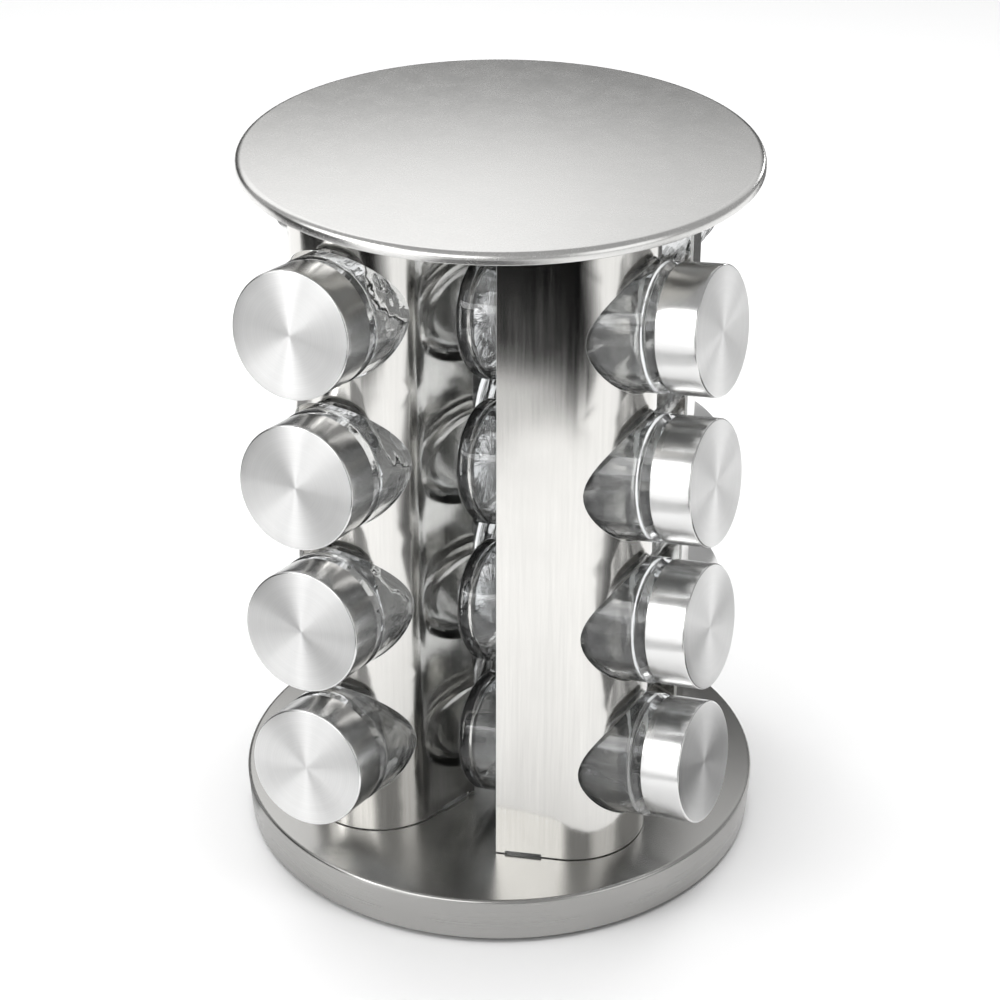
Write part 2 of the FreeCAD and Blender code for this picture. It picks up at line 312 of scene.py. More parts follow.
def shader_group(name, inputs, outputs):
    """An empty shader node group and its ends."""
    group = bpy.data.node_groups.new(name, "ShaderNodeTree")
    for label, kind, default in inputs:
        socket = group.interface.new_socket(label, in_out="INPUT", socket_type=kind)
        if default is not None:
            socket.default_value = default
    for label, kind in outputs:
        group.interface.new_socket(label, in_out="OUTPUT", socket_type=kind)
    tree = Tree(group)
    start = tree.nodes.new("NodeGroupInput")
    end = tree.nodes.new("NodeGroupOutput")
    return group, tree, start, end


def brushed_grain_group():
    """Fine scratches along one direction: tone, roughness and height."""
    group, tree, start, end = shader_group(
        "Brushed grain",
        [("Vector", "NodeSocketVector", None), ("Across", "NodeSocketFloat", 9000.0),
         ("Along", "NodeSocketFloat", 90.0), ("Roughness", "NodeSocketFloat", 0.25),
         ("Spread", "NodeSocketFloat", 0.08)],
        [("Tone", "NodeSocketFloat"), ("Roughness", "NodeSocketFloat"),
         ("Height", "NodeSocketFloat")])
    scale = tree.add("CombineXYZ")
    tree.link(start.outputs["Across"], scale.inputs[0])
    tree.link(start.outputs["Along"], scale.inputs[1])
    tree.link(start.outputs["Across"], scale.inputs[2])
    stretch = tree.add("VectorMath", operation="MULTIPLY")
    tree.link(start.outputs["Vector"], stretch.inputs[0])
    tree.link(scale.outputs[0], stretch.inputs[1])
    fine = tree.add("TexNoise")
    fine.inputs["Scale"].default_value = 1.0
    fine.inputs["Detail"].default_value = 3.0
    fine.inputs["Roughness"].default_value = 0.65
    tree.link(stretch.outputs[0], fine.inputs["Vector"])
    wide = tree.add("VectorMath", operation="SCALE")
    wide.inputs["Scale"].default_value = 0.11
    tree.link(stretch.outputs[0], wide.inputs[0])
    broad = tree.add("TexNoise")
    broad.inputs["Scale"].default_value = 1.0
    broad.inputs["Detail"].default_value = 2.0
    tree.link(wide.outputs[0], broad.inputs["Vector"])
    both = tree.math("ADD", tree.math("MULTIPLY", fine.outputs[0], 0.65),
                     tree.math("MULTIPLY", broad.outputs[0], 0.35))
    tree.link(both, end.inputs["Tone"])
    centred = tree.math("SUBTRACT", both, 0.5)
    spread = tree.math("MULTIPLY", centred, start.outputs["Spread"])
    tree.link(tree.math("ADD", start.outputs["Roughness"], spread), end.inputs["Roughness"])
    tree.link(both, end.inputs["Height"])
    return group


def handling_group():
    """Cloudy marks that handling leaves: a mask that is mostly near zero."""
    group, tree, start, end = shader_group(
        "Handling marks",
        [("Vector", "NodeSocketVector", None), ("Scale", "NodeSocketFloat", 30.0)],
        [("Mask", "NodeSocketFloat"), ("Cloud", "NodeSocketFloat")])
    cloud = tree.add("TexNoise")
    cloud.inputs["Detail"].default_value = 5.0
    cloud.inputs["Roughness"].default_value = 0.55
    tree.link(start.outputs["Vector"], cloud.inputs["Vector"])
    tree.link(start.outputs["Scale"], cloud.inputs["Scale"])
    marks = tree.ramp(cloud.outputs[0], [(0.50, 0.0), (0.68, 1.0)])
    tree.link(marks, end.inputs["Mask"])
    tree.link(cloud.outputs[0], end.inputs["Cloud"])
    return group


def place_group(tree, group, **values):
    """A group node whose inputs are set from numbers or linked from sockets."""
    node = tree.add("Group")
    node.node_tree = group
    for name, value in values.items():
        socket = node.inputs[name]
        if isinstance(value, (int, float)):
            socket.default_value = value
        else:
            tree.link(value, socket)
    return node


def new_material(name):
    """A material with one plain Principled surface."""
    material = bpy.data.materials.new(name)
    material.use_nodes = True
    tree = Tree(material.node_tree)
    surface = tree.add("BsdfPrincipled")
    output = tree.add("OutputMaterial")
    tree.link(surface.outputs[0], output.inputs[0])
    return material, tree, surface


def tone_colour(tree, tone, colour, depth):
    """The colour, darker and lighter by the tone within the given depth."""
    dark = [c * (1 - depth) for c in colour]
    light = [min(1.0, c * (1 + depth)) for c in colour]
    return tree.mix(tone, dark, light)


def steel_material(name, colour, source, across, along, roughness, spread, depth, bump,
                   anisotropy=0.0, turn=0.0, cloud=22.0, handled=1.0):
    """Steel with a grain. source is 'map' for the piece's own UV map, which also gives the
    direction of the brushing, or 'object'. across and along are the grain's frequencies,
    spread its change of roughness, depth its change of tone and bump its height in metres.
    cloud is the frequency of the handling marks, and handled how strong they are."""
    material, tree, surface = new_material(name)
    place = tree.add("TexCoord").outputs["Object"]
    where = tree.add("UVMap").outputs[0] if source == "map" else place
    grain = place_group(tree, GROUPS["grain"], Vector=where, Across=across, Along=along,
                        Roughness=roughness, Spread=spread)
    marks = place_group(tree, GROUPS["marks"], Vector=place, Scale=cloud)
    tone = tone_colour(tree, grain.outputs["Tone"], colour, depth)
    dulled = tree.mix(tree.math("MULTIPLY", marks.outputs["Mask"], 0.5 * handled), tone,
                      [c * 0.94 for c in colour])
    tree.link(dulled, surface.inputs["Base Color"])
    rough = tree.math("ADD", grain.outputs["Roughness"],
                      tree.math("MULTIPLY", marks.outputs["Mask"], 0.03 * handled))
    tree.link(rough, surface.inputs["Roughness"])
    surface.inputs["Metallic"].default_value = 1.0
    if anisotropy:
        surface.inputs["Anisotropic"].default_value = anisotropy
        surface.inputs["Anisotropic Rotation"].default_value = turn
        tree.link(tree.add("Tangent", direction_type="UV_MAP").outputs[0],
                  surface.inputs["Tangent"])
    height = tree.add("Bump")
    height.inputs["Distance"].default_value = bump
    tree.link(grain.outputs["Height"], height.inputs["Height"])
    tree.link(height.outputs[0], surface.inputs["Normal"])
    return material


GROUPS = {}
MATERIALS = {}
# Each steel's own material name, the colour setting it takes and its grain.
STEELS = {
    "tower": dict(name="tower brushed sheet", colour="steel", source="map", across=750.0,
                  along=22.0, roughness=0.115, spread=0.14, depth=0.22, bump=9e-6,
                  anisotropy=0.6),
    # The cut edge's bright colour is a painted highlight; its grain and roughness are the edge's
    # own.
    "cut edge": dict(name="tower cut edge", colour="edge_steel", source="object", across=500.0,
                     along=500.0, roughness=0.36, spread=0.10, depth=0.08, bump=3e-6),
    "dish": dict(name="base dish polished top", colour="dish_steel", source="object",
                 across=500.0, along=500.0, roughness=0.25, spread=0.06, depth=0.05, bump=2e-6,
                 handled=0.2),
    # Darker than the dish top: painted shade on the dish's side; the brushing round the side is its
    # own.
    "skirt": dict(name="base dish brushed side", colour="skirt_steel", source="map", across=0.0,
                  along=160.0, roughness=0.28, spread=0.14, depth=0.10, bump=3e-6,
                  anisotropy=0.7, turn=0.25),
    "lid": dict(name="lid satin sheet", colour="lid_steel", source="object", across=1100.0,
                along=1100.0, roughness=0.26, spread=0.12, depth=0.15, bump=9e-6, cloud=14.0,
                handled=0.25),
    "cap face": dict(name="cap spun face", colour="cap_steel", source="map", across=0.0,
                     along=230.0, roughness=0.34, spread=0.20, depth=0.16, bump=5e-6,
                     anisotropy=0.93, turn=0.25),
    "cap side": dict(name="cap brushed side", colour="cap_steel", source="map", across=0.0,
                     along=200.0, roughness=0.24, spread=0.14, depth=0.10, bump=4e-6,
                     anisotropy=0.6, turn=0.25),
    "carrier": dict(name="carrier sheet", colour="steel", source="object", across=400.0,
                    along=400.0, roughness=0.3, spread=0.05, depth=0.05, bump=2e-6),
    "zinc": dict(name="zinc plate", colour="zinc", source="object", across=160.0, along=160.0,
                 roughness=0.42, spread=0.12, depth=0.10, bump=8e-6),
    "ball": dict(name="ball steel", colour="steel", source="object", across=300.0, along=300.0,
                 roughness=0.08, spread=0.03, depth=0.02, bump=1e-6),
}


def make_materials():
    """Fills GROUPS with the shared effects and MATERIALS with every finish."""
    finish = bpy.context.scene.carousel_finish
    GROUPS["grain"] = brushed_grain_group()
    GROUPS["marks"] = handling_group()
    for key, values in STEELS.items():
        colour = getattr(finish, values["colour"])
        MATERIALS[key] = steel_material(**{**values, "colour": colour})
    MATERIALS["glass"] = glass_material(finish.glass)
    MATERIALS["liner"] = moulded_material("liner plastic", finish.liner, 0.42, 0.35)
    MATERIALS["rubber"] = moulded_material("foot rubber", finish.rubber, 0.75, 0.0)


def glass_material(colour):
    """Clear glass with a faint film and streaks along the jar."""
    material, tree, surface = new_material("jar clear glass")
    surface.inputs["Base Color"].default_value = (*colour, 1)
    surface.inputs["Transmission Weight"].default_value = 0.985
    surface.inputs["IOR"].default_value = 1.5
    source = tree.add("TexCoord").outputs["Object"]
    film = place_group(tree, GROUPS["marks"], Vector=source, Scale=60.0)
    tree.link(tree.math("MULTIPLY", film.outputs["Mask"], 0.03), surface.inputs["Roughness"])
    streaks = place_group(tree, GROUPS["grain"], Vector=tree.add("UVMap").outputs[0],
                          Across=30.0, Along=4.5, Roughness=0.0, Spread=0.0)
    height = tree.add("Bump")
    height.inputs["Distance"].default_value = 1.1e-4
    tree.link(streaks.outputs["Height"], height.inputs["Height"])
    tree.link(height.outputs[0], surface.inputs["Normal"])
    return material


def moulded_material(name, colour, roughness, sheen):
    """Plastic or rubber with a cloudy surface."""
    spread = 0.15
    material, tree, surface = new_material(name)
    source = tree.add("TexCoord").outputs["Object"]
    film = place_group(tree, GROUPS["marks"], Vector=source, Scale=160.0)
    tone = tone_colour(tree, film.outputs["Cloud"], colour, 0.08)
    tree.link(tone, surface.inputs["Base Color"])
    uneven = tree.math("MULTIPLY", film.outputs["Cloud"], spread)
    tree.link(tree.math("ADD", uneven, roughness - spread / 2), surface.inputs["Roughness"])
    surface.inputs["Coat Weight"].default_value = sheen
    height = tree.add("Bump")
    height.inputs["Distance"].default_value = 2e-5
    tree.link(film.outputs["Cloud"], height.inputs["Height"])
    tree.link(height.outputs[0], surface.inputs["Normal"])
    return material


# ------------------------------------------------------------------ lid and dish
class CAROUSEL_OT_lid(Operator):
    """Make the satin lid"""

    bl_idname = "carousel.lid"
    bl_label = "Lid"

    def execute(self, context):
        top, foot = LID_HIGH.z, LID_LOW.z
        radius = LID_HIGH.x
        sheet = 0.9 * MM
        corner = 2.6 * MM
        outline = rounded_outline([
            (0, top, 0), (radius, top, corner), (radius, foot, 0.25 * MM),
            (radius - sheet, foot, 0.25 * MM), (radius - sheet, top - sheet, corner - sheet),
            (0, top - sheet, 0)], steps=10)
        mesh = turned_mesh("lid", outline, 256)
        sharpen(mesh)
        add_object("lid_cover", mesh, ["lid"], "carousel", "lid")
        return {"FINISHED"}


class CAROUSEL_OT_dish(Operator):
    """Make the round base dish"""

    bl_idname = "carousel.dish"
    bl_label = "Base dish"

    def execute(self, context):
        top, foot = DISH_HIGH.z, DISH_LOW.z
        rim = DISH_HIGH.x
        narrow = 1.3 * MM
        sheet = 1.0 * MM
        hem = 1.6 * MM
        low = rim - narrow
        outline = rounded_outline([
            (0, top, 0), (rim, top, 1.6 * MM), (low, foot, 0.4 * MM),
            (low - hem, foot, 0.4 * MM), (low - hem, foot + hem, 0), (low - sheet, foot + hem, 0),
            (rim - sheet, top - sheet, 0.6 * MM), (0, top - sheet, 0)], steps=8)
        mesh = turned_mesh("dish", outline, 256)
        sharpen(mesh)
        add_object("dish_pressing", mesh, ["dish", "skirt"], "carousel", "base_dish")
        # Upright faces take the darker side steel with its painted shade.
        for face in mesh.polygons:
            face.material_index = 1 if abs(face.normal.z) < 0.5 else 0
        return {"FINISHED"}


# ------------------------------------------------------------------ towers
def sheet_point(settings, along, height, depth):
    """A point of tower 1: along is measured round the sheet from the middle of its front."""
    radius = settings.radius
    bend = radius * (math.pi / 2 - settings.flare)
    middle = Vector((TOWER_HIGH.x - radius, (TOWER_LOW.y + TOWER_HIGH.y) / 2, 0))
    side = 1 if along >= 0 else -1
    if abs(along) <= bend:
        angle = along / radius
        outward = Vector((math.cos(angle), math.sin(angle), 0))
        return middle + outward * (radius - depth) + Vector((0, 0, height))
    outward = Vector((math.sin(settings.flare), side * math.cos(settings.flare), 0))
    back = Vector((-math.cos(settings.flare), side * math.sin(settings.flare), 0))
    return (middle + outward * (radius - depth) + back * (abs(along) - bend)
            + Vector((0, 0, height)))


def tower_sheet(settings):
    """The flat pattern of a tower's outer skin with its four holes, and how far each point
    of the inner skin lies further round, because the holes are cut straight through."""
    radius = settings.radius
    low, high = TOWER_LOW.z + settings.foot_gap, TOWER_HIGH.z
    bend = radius * (math.pi / 2 - settings.flare)
    middle = TOWER_HIGH.x - radius
    run = (middle + radius * math.sin(settings.flare) - TOWER_LOW.x) / math.cos(settings.flare)
    end = bend + run
    margin = 2.2 * MM
    half = radius * math.asin(settings.hole / radius) + margin
    bm = bmesh.new()
    bm.loops.layers.uv.new("sheet")
    flat = {}
    lean = {}

    def vert(along, height):
        key = (round(along, 7), round(height, 7))
        if key not in flat:
            flat[key] = bm.verts.new((along, height, 0))
        return flat[key]

    centres = [settings.lowest + settings.pitch * n for n in range(len(LEVELS))]
    cell = settings.pitch / 2
    steps = 20
    around = 4 * steps
    for centre in centres:
        box = []
        for n in range(around):
            side, k = divmod(n, steps)
            t = -1 + 2 * k / steps
            box.append({0: (half, t * cell), 1: (-t * half, cell), 2: (-half, -t * cell),
                        3: (t * half, -cell)}[side])
        ring = []
        for across, up in box:
            angle = math.atan2(up / cell, across / half)
            v = settings.hole * math.cos(angle)
            along = radius * math.asin(v / radius)
            shift = radius * math.asin(v / (radius - settings.thickness)) - along
            ring.append((along, settings.hole * math.sin(angle), shift))
        layers = [0.0, 0.04, 0.12, 0.3, 0.6, 1.0]
        rows = []
        for share in layers:
            row = []
            for (a, c, shift), b in zip(ring, box):
                row.append(vert(a + (b[0] - a) * share, centre + c + (b[1] - c) * share))
                lean[row[-1]] = shift * (1 - share)
            rows.append(row)
        for inner, outer in zip(rows, rows[1:]):
            for n in range(around):
                m = (n + 1) % around
                bm.faces.new((inner[n], outer[n], outer[m], inner[m]))
    middle_along = [-half + 2 * half * k / steps for k in range(steps + 1)]
    heights = []
    for centre in centres:
        heights += [centre - cell + 2 * cell * k / steps for k in range(steps)]
    heights.append(centres[-1] + cell)
    below = [low, low + settings.notch_rise, low + 4 * MM, heights[0] - 2 * MM, heights[0]]
    above = [heights[-1], (heights[-1] + high) / 2, high]
    for rows in (below, above):
        for h0, h1 in zip(rows, rows[1:]):
            for a0, a1 in zip(middle_along, middle_along[1:]):
                bm.faces.new((vert(a0, h0), vert(a1, h0), vert(a1, h1), vert(a0, h1)))
    notch_in = end - settings.notch_start - settings.notch_length
    notch_out = end - settings.notch_start
    sides = [half + (bend - half) * k / 6 for k in range(7)]
    sides += [bend + (notch_in - bend) * k / 3 for k in range(1, 4)]
    sides += [notch_in + settings.notch_length * k / 6 for k in range(1, 7)]
    sides += [end]
    rows = below[:-1] + heights + above[1:]
    for side in (1, -1):
        for a0, a1 in zip(sides, sides[1:]):
            for h0, h1 in zip(rows, rows[1:]):
                cut = a0 >= notch_in - 1e-6 and a1 <= notch_out + 1e-6
                if cut and h1 <= low + settings.notch_rise + 1e-6:
                    continue
                corners = [(a0, h0), (a1, h0), (a1, h1), (a0, h1)]
                if side < 0:
                    corners.reverse()
                bm.faces.new([vert(side * a, h) for a, h in corners])
    return bm, lean


def tower_mesh(settings, number):
    """One bent, punched sheet as a closed mesh."""
    bm, lean = tower_sheet(settings)
    uv = bm.loops.layers.uv["sheet"]
    skin = bm.faces[:]
    inner = {v: bm.verts.new((v.co.x + lean.get(v, 0.0), v.co.y, 1)) for v in bm.verts[:]}
    rims = [edge for edge in bm.edges if len(edge.link_faces) == 1]
    rim_faces = []
    for edge in rims:
        loop = edge.link_loops[0]
        a, b = loop.vert, loop.link_loop_next.vert
        rim_faces.append((b, a, inner[a], inner[b]))
    for face in skin:
        bm.faces.new([inner[v] for v in reversed(face.verts)])
    for corners in rim_faces:
        # The rim faces take the cut edge steel, painted brighter as a highlight.
        bm.faces.new(corners).material_index = 1
    for face in bm.faces:
        face.smooth = True
        for loop in face.loops:
            loop[uv].uv = (loop.vert.co.x, loop.vert.co.y)
    for v in bm.verts:
        depth = settings.thickness if v.co.z > 0.5 else 0.0
        v.co = sheet_point(settings, v.co.x, v.co.y, depth)
    bmesh.ops.recalc_face_normals(bm, faces=bm.faces[:])
    mesh = bpy.data.meshes.new(f"tower_{number}")
    bm.to_mesh(mesh)
    bm.free()
    mesh.transform(tower_turn(number))
    return mesh


class CAROUSEL_OT_towers(Operator):
    """Make the four punched and bent towers"""

    bl_idname = "carousel.towers"
    bl_label = "Towers"

    def execute(self, context):
        settings = context.scene.carousel_sheet
        for number in TOWERS:
            mesh = tower_mesh(settings, number)
            piece = add_object(f"tower_{number}_sheet", mesh, ["tower", "cut edge"], "carousel",
                               f"tower_{number}")
            bevel = piece.modifiers.new("cut edges", "BEVEL")
            # The bevels take the cut edge steel with its painted highlight.
            bevel.material = 1
            bevel.width = settings.edge
            bevel.segments = 3
            bevel.limit_method = "ANGLE"
            bevel.angle_limit = math.radians(50)
            bevel.harden_normals = True
        return {"FINISHED"}


# ------------------------------------------------------------------ jars
def glass_outline(jars):
    """The glass from the middle of its base, up the outside, over the lip and down the bore."""
    inside = jars.radius - jars.wall
    push_up, hollow, foot_ring = 1.2 * MM, 15 * MM, 18.6 * MM
    collar, under_lip = jars.neck + 0.8 * MM, jars.lip - 0.6 * MM
    lip_round = 0.55 * MM
    neck_rings = 34
    floor = 3.2 * MM
    heel = floor + 12 * MM
    outline = rounded_outline([
        (0, push_up, 0), (hollow, push_up, 1 * MM), (foot_ring, 0, 1.0 * MM),
        (jars.radius, 0.0, 3.0 * MM), (jars.radius, jars.shoulder - 1.2 * MM, 0),
        (jars.radius, jars.shoulder, 2.0 * MM), (jars.neck_radius, jars.neck, 1.0 * MM),
        (jars.neck_radius, collar, 0)], steps=6)
    for n in range(1, neck_rings + 1):
        rise = (under_lip - collar) * n / neck_rings
        outline.append(Vector((jars.neck_radius, collar + rise)))
    outline += rounded_outline([
        (jars.neck_radius, under_lip, 0), (jars.neck_radius, jars.lip, lip_round),
        (jars.bore, jars.lip, lip_round), (jars.bore, jars.neck + 1 * MM, 2.0 * MM),
        (inside, jars.shoulder - jars.wall, 2.0 * MM), (inside, heel, 0)], steps=5)[1:]
    for n in range(1, 5):
        outline.append(Vector((inside, heel - 1.8 * MM * n)))
    outline += rounded_outline([
        (inside, floor + 4.8 * MM, 0), (inside, floor, 4.2 * MM),
        (6 * MM, floor + 0.9 * MM, 4 * MM), (0, floor + 1.2 * MM, 0)], steps=7)[1:]
    return outline


def denser(outline, longest):
    """The outline with its long straight runs divided."""
    out = [outline[0]]
    for before, after in zip(outline, outline[1:]):
        count = max(1, math.ceil((after - before).length / longest))
        out += [before.lerp(after, k / count) for k in range(1, count + 1)]
    return out


def glass_shape(jars, seed):
    """Thread ridge on the neck and the slight unevenness of the moulded wall."""
    first = jars.neck + 3.4 * MM
    pitch = 3.9 * MM
    turns = 1.7
    run_out = 0.12
    crest, half_width = 0.8 * MM, 0.75 * MM

    def shape(angle, radius, height):
        out = radius
        outside = radius > jars.neck_radius - 0.05 * MM and height > jars.neck + 0.7 * MM
        if outside and radius < jars.neck_radius + 0.05 * MM:
            for lap in range(2):
                wind = angle / (2 * math.pi) + lap
                if wind > turns:
                    continue
                fade = min(1.0, wind / run_out, (turns - wind) / run_out)
                gap = abs(height - first - pitch * wind) / half_width
                out += crest * fade * max(0.0, 1 - gap * gap)
        bore = radius < jars.radius - jars.wall + 0.05 * MM and height < jars.neck
        if bore and radius > 3 * MM and height > 4 * MM:
            spot = Vector((math.cos(angle) * 4.5, math.sin(angle) * 4.5, height * 190 + seed * 7))
            out += jars.ripple * noise.noise(spot) + jars.ripple * 0.5 * noise.noise(spot * 2.7)
        elif radius > jars.radius - 0.1 * MM and 4 * MM < height < jars.shoulder - 4 * MM:
            spot = Vector((math.cos(angle) * 1.4, math.sin(angle) * 1.4, height * 70 - seed * 5))
            out -= jars.ripple * 0.35 * (0.5 + 0.5 * noise.noise(spot))
        return out

    return shape


class CAROUSEL_OT_jars(Operator):
    """Make the sixteen clear glass jars"""

    bl_idname = "carousel.jars"
    bl_label = "Glass jars"

    def execute(self, context):
        jars = context.scene.carousel_jars
        outline = denser(glass_outline(jars), 1.7 * MM)
        for number in TOWERS:
            for n, level in enumerate(LEVELS):
                shape = glass_shape(jars, 4 * number + n)
                mesh = turned_mesh("glass", outline, jars.sides, jar_place(number, level), shape)
                name = f"jar_{number}{level}"
                add_object(f"{name}_bottle", mesh, ["glass"], name, f"{name}_glass")
        return {"FINISHED"}


class CAROUSEL_OT_caps(Operator):
    """Make the sixteen spun steel caps and their plastic liners"""

    bl_idname = "carousel.caps"
    bl_label = "Caps"

    def execute(self, context):
        caps = context.scene.carousel_caps
        jars = context.scene.carousel_jars
        end = jars.length
        inside = caps.radius - caps.sheet
        bore = inside - caps.liner
        disc = end - caps.sheet - 1.2 * MM
        shell = rounded_outline([
            (0, end, 0), (caps.radius, end, caps.edge), (caps.radius, caps.start, 0.2 * MM),
            (inside, caps.start, 0.2 * MM), (inside, end - caps.sheet, 0.2 * MM),
            (0, end - caps.sheet, 0)], steps=6)
        liner = rounded_outline([
            (0, end - caps.sheet, 0), (inside, end - caps.sheet, 0.1 * MM),
            (inside, caps.start + 1 * MM, 0.2 * MM), (bore, caps.start + 1 * MM, 0.3 * MM),
            (bore, disc, 0.5 * MM), (0, disc, 0)], steps=4)
        for number in TOWERS:
            for level in LEVELS:
                name = f"jar_{number}{level}"
                body = f"cap_{number}{level}"
                place = jar_place(number, level)
                mesh = turned_mesh("cap", denser(shell, 4 * MM), caps.sides, place)
                sharpen(mesh)
                add_object(f"{name}_cap", mesh, ["cap side", "cap face"], body,
                           f"{name}_cap_shell")
                upright = place.inverted()
                for face in mesh.polygons:
                    on_face = (upright @ face.center).z > end - 0.05 * MM
                    face.material_index = 1 if on_face else 0
                mesh = turned_mesh("liner", liner, 96, place)
                sharpen(mesh)
                add_object(f"{name}_liner", mesh, ["liner"], body, f"{name}_cap_liner")
        return {"FINISHED"}


# ------------------------------------------------------------------ turntable
def ring_of_balls_tree(material):
    """Geometry nodes that set a number of balls of the material round a circle."""
    tree = bpy.data.node_groups.new("Ring of balls", "GeometryNodeTree")
    for label, kind in (("Balls", "NodeSocketInt"), ("Circle radius", "NodeSocketFloat"),
                        ("Ball radius", "NodeSocketFloat"), ("Height", "NodeSocketFloat")):
        tree.interface.new_socket(label, in_out="INPUT", socket_type=kind)
    tree.interface.new_socket("Geometry", in_out="OUTPUT", socket_type="NodeSocketGeometry")
    nodes = tree.nodes
    start = nodes.new("NodeGroupInput")
    end = nodes.new("NodeGroupOutput")
    circle = nodes.new("GeometryNodeMeshCircle")
    ball = nodes.new("GeometryNodeMeshUVSphere")
    ball.inputs["Segments"].default_value = 32
    ball.inputs["Rings"].default_value = 16
    spread = nodes.new("GeometryNodeInstanceOnPoints")
    real = nodes.new("GeometryNodeRealizeInstances")
    lift = nodes.new("ShaderNodeCombineXYZ")
    move = nodes.new("GeometryNodeTransform")
    smooth = nodes.new("GeometryNodeSetShadeSmooth")
    coat = nodes.new("GeometryNodeSetMaterial")
    coat.inputs["Material"].default_value = material
    link = tree.links.new
    link(start.outputs["Balls"], circle.inputs["Vertices"])
    link(start.outputs["Circle radius"], circle.inputs["Radius"])
    link(start.outputs["Ball radius"], ball.inputs["Radius"])
    link(circle.outputs["Mesh"], spread.inputs["Points"])
    link(ball.outputs["Mesh"], spread.inputs["Instance"])
    link(start.outputs["Height"], lift.inputs["Z"])
    link(spread.outputs[0], move.inputs["Geometry"])
    link(lift.outputs[0], move.inputs["Translation"])
    link(move.outputs[0], real.inputs["Geometry"])
    link(real.outputs[0], smooth.inputs["Geometry"])
    link(smooth.outputs[0], coat.inputs["Geometry"])
    link(coat.outputs[0], end.inputs["Geometry"])
    return tree


def baked_from_tree(name, tree, values):
    """The plain mesh that a geometry nodes tree makes with the given inputs."""
    source = bpy.data.objects.new(name, bpy.data.meshes.new(name))
    bpy.context.scene.collection.objects.link(source)
    modifier = source.modifiers.new(name, "NODES")
    modifier.node_group = tree
    for item in tree.interface.items_tree:
        if item.in_out == "INPUT":
            modifier[item.identifier] = values[item.name]
    graph = bpy.context.evaluated_depsgraph_get()
    mesh = bpy.data.meshes.new_from_object(source.evaluated_get(graph), depsgraph=graph)
    bpy.data.objects.remove(source)
    return mesh


class CAROUSEL_OT_bearing(Operator):
    """Set the bearing balls in their ring"""

    bl_idname = "carousel.bearing"
    bl_label = "Bearing balls"

    def execute(self, context):
        low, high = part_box("bearing_balls")
        radius = (high.z - low.z) / 2
        tree = ring_of_balls_tree(MATERIALS["ball"])
        values = {"Balls": 18, "Circle radius": high.x - radius, "Ball radius": radius,
                  "Height": (low.z + high.z) / 2}
        mesh = baked_from_tree("bearing ring", tree, values)
        add_object("bearing_ball_ring", mesh, [], "turntable_foot", "bearing_balls")
        return {"FINISHED"}


class CAROUSEL_OT_turntable(Operator):
    """Finish the turntable's plates, its feet and the carrier under the lid"""

    bl_idname = "carousel.turntable"
    bl_label = "Turntable"

    def execute(self, context):
        finishes = {"foot_plate": "zinc", "bearing_upper_race": "zinc", "hub_eyelet": "zinc",
                    "rubber_feet": "rubber", "top_carrier": "carrier"}
        for node, finish in finishes.items():
            mesh = frame["nodes"][node].data
            mesh.materials.clear()
            mesh.materials.append(MATERIALS[finish])
        return {"FINISHED"}


# ------------------------------------------------------------------ stage
def look_at(location, target):
    """The placement of a lamp or camera that faces the target."""
    direction = Vector(target) - Vector(location)
    turn = direction.to_track_quat("-Z", "Y").to_matrix().to_4x4()
    return Matrix.Translation(location) @ turn


def softbox(name, size, place, radiance, reflected=True):
    """A soft light panel of even brightness."""
    light = bpy.data.lights.new(name, "AREA")
    light.shape = "RECTANGLE"
    light.size, light.size_y = size
    light.energy = radiance * math.pi * size[0] * size[1]
    lamp = bpy.data.objects.new(name, light)
    lamp.matrix_world = place
    lamp.visible_glossy = reflected
    bpy.context.scene.collection.objects.link(lamp)


def card(name, size, place, stops, across=None, reflected_only=False, strength=1.0):
    """A panel whose brightness follows stops from its lower edge (0) to its upper edge (1),
    times the stops across it from left to right."""
    width, height = size
    bm = bmesh.new()
    uv = bm.loops.layers.uv.new("card")
    corners = [(-width / 2, 0, 0), (width / 2, 0, 0), (width / 2, 0, height),
               (-width / 2, 0, height)]
    face = bm.faces.new([bm.verts.new(corner) for corner in corners])
    for loop, spot in zip(face.loops, ((0, 0), (1, 0), (1, 1), (0, 1))):
        loop[uv].uv = spot
    mesh = bpy.data.meshes.new(name)
    bm.to_mesh(mesh)
    bm.free()
    material = bpy.data.materials.new(name)
    material.use_nodes = True
    tree = Tree(material.node_tree)
    parts = tree.add("SeparateXYZ")
    tree.link(tree.add("UVMap").outputs[0], parts.inputs[0])
    glow = tree.add("Emission")
    glow.inputs["Strength"].default_value = strength
    ramp = tree.ramp(parts.outputs[1], stops)
    ramp.node.color_ramp.interpolation = "EASE"
    if across:
        sides = tree.ramp(parts.outputs[0], across)
        ramp = tree.mix(1.0, ramp, sides, "MULTIPLY")
    tree.link(ramp, glow.inputs[0])
    tree.link(glow.outputs[0], tree.add("OutputMaterial").inputs[0])
    mesh.materials.append(material)
    piece = bpy.data.objects.new(name, mesh)
    piece.matrix_world = place
    piece.visible_camera = False
    piece.visible_shadow = False
    if reflected_only:
        piece.visible_diffuse = False
        piece.visible_transmission = False
    bpy.context.scene.collection.objects.link(piece)


def place_camera(view, turn):
    """The camera, raised and aimed at the rack's axis."""
    flat = math.cos(view.elevation) * view.distance
    aim = Vector((0, 0, view.aim))
    spot = turn @ Vector((0, -flat, 0)) + aim
    spot.z += math.sin(view.elevation) * view.distance
    camera = bpy.data.cameras.new("camera")
    camera.lens = view.lens
    camera.sensor_width = 36.0
    camera.clip_start = 0.01
    eye = bpy.data.objects.new("camera", camera)
    eye.matrix_world = look_at(spot, aim) @ Matrix.Rotation(view.roll, 4, "Z")
    bpy.context.scene.collection.objects.link(eye)
    bpy.context.scene.camera = eye


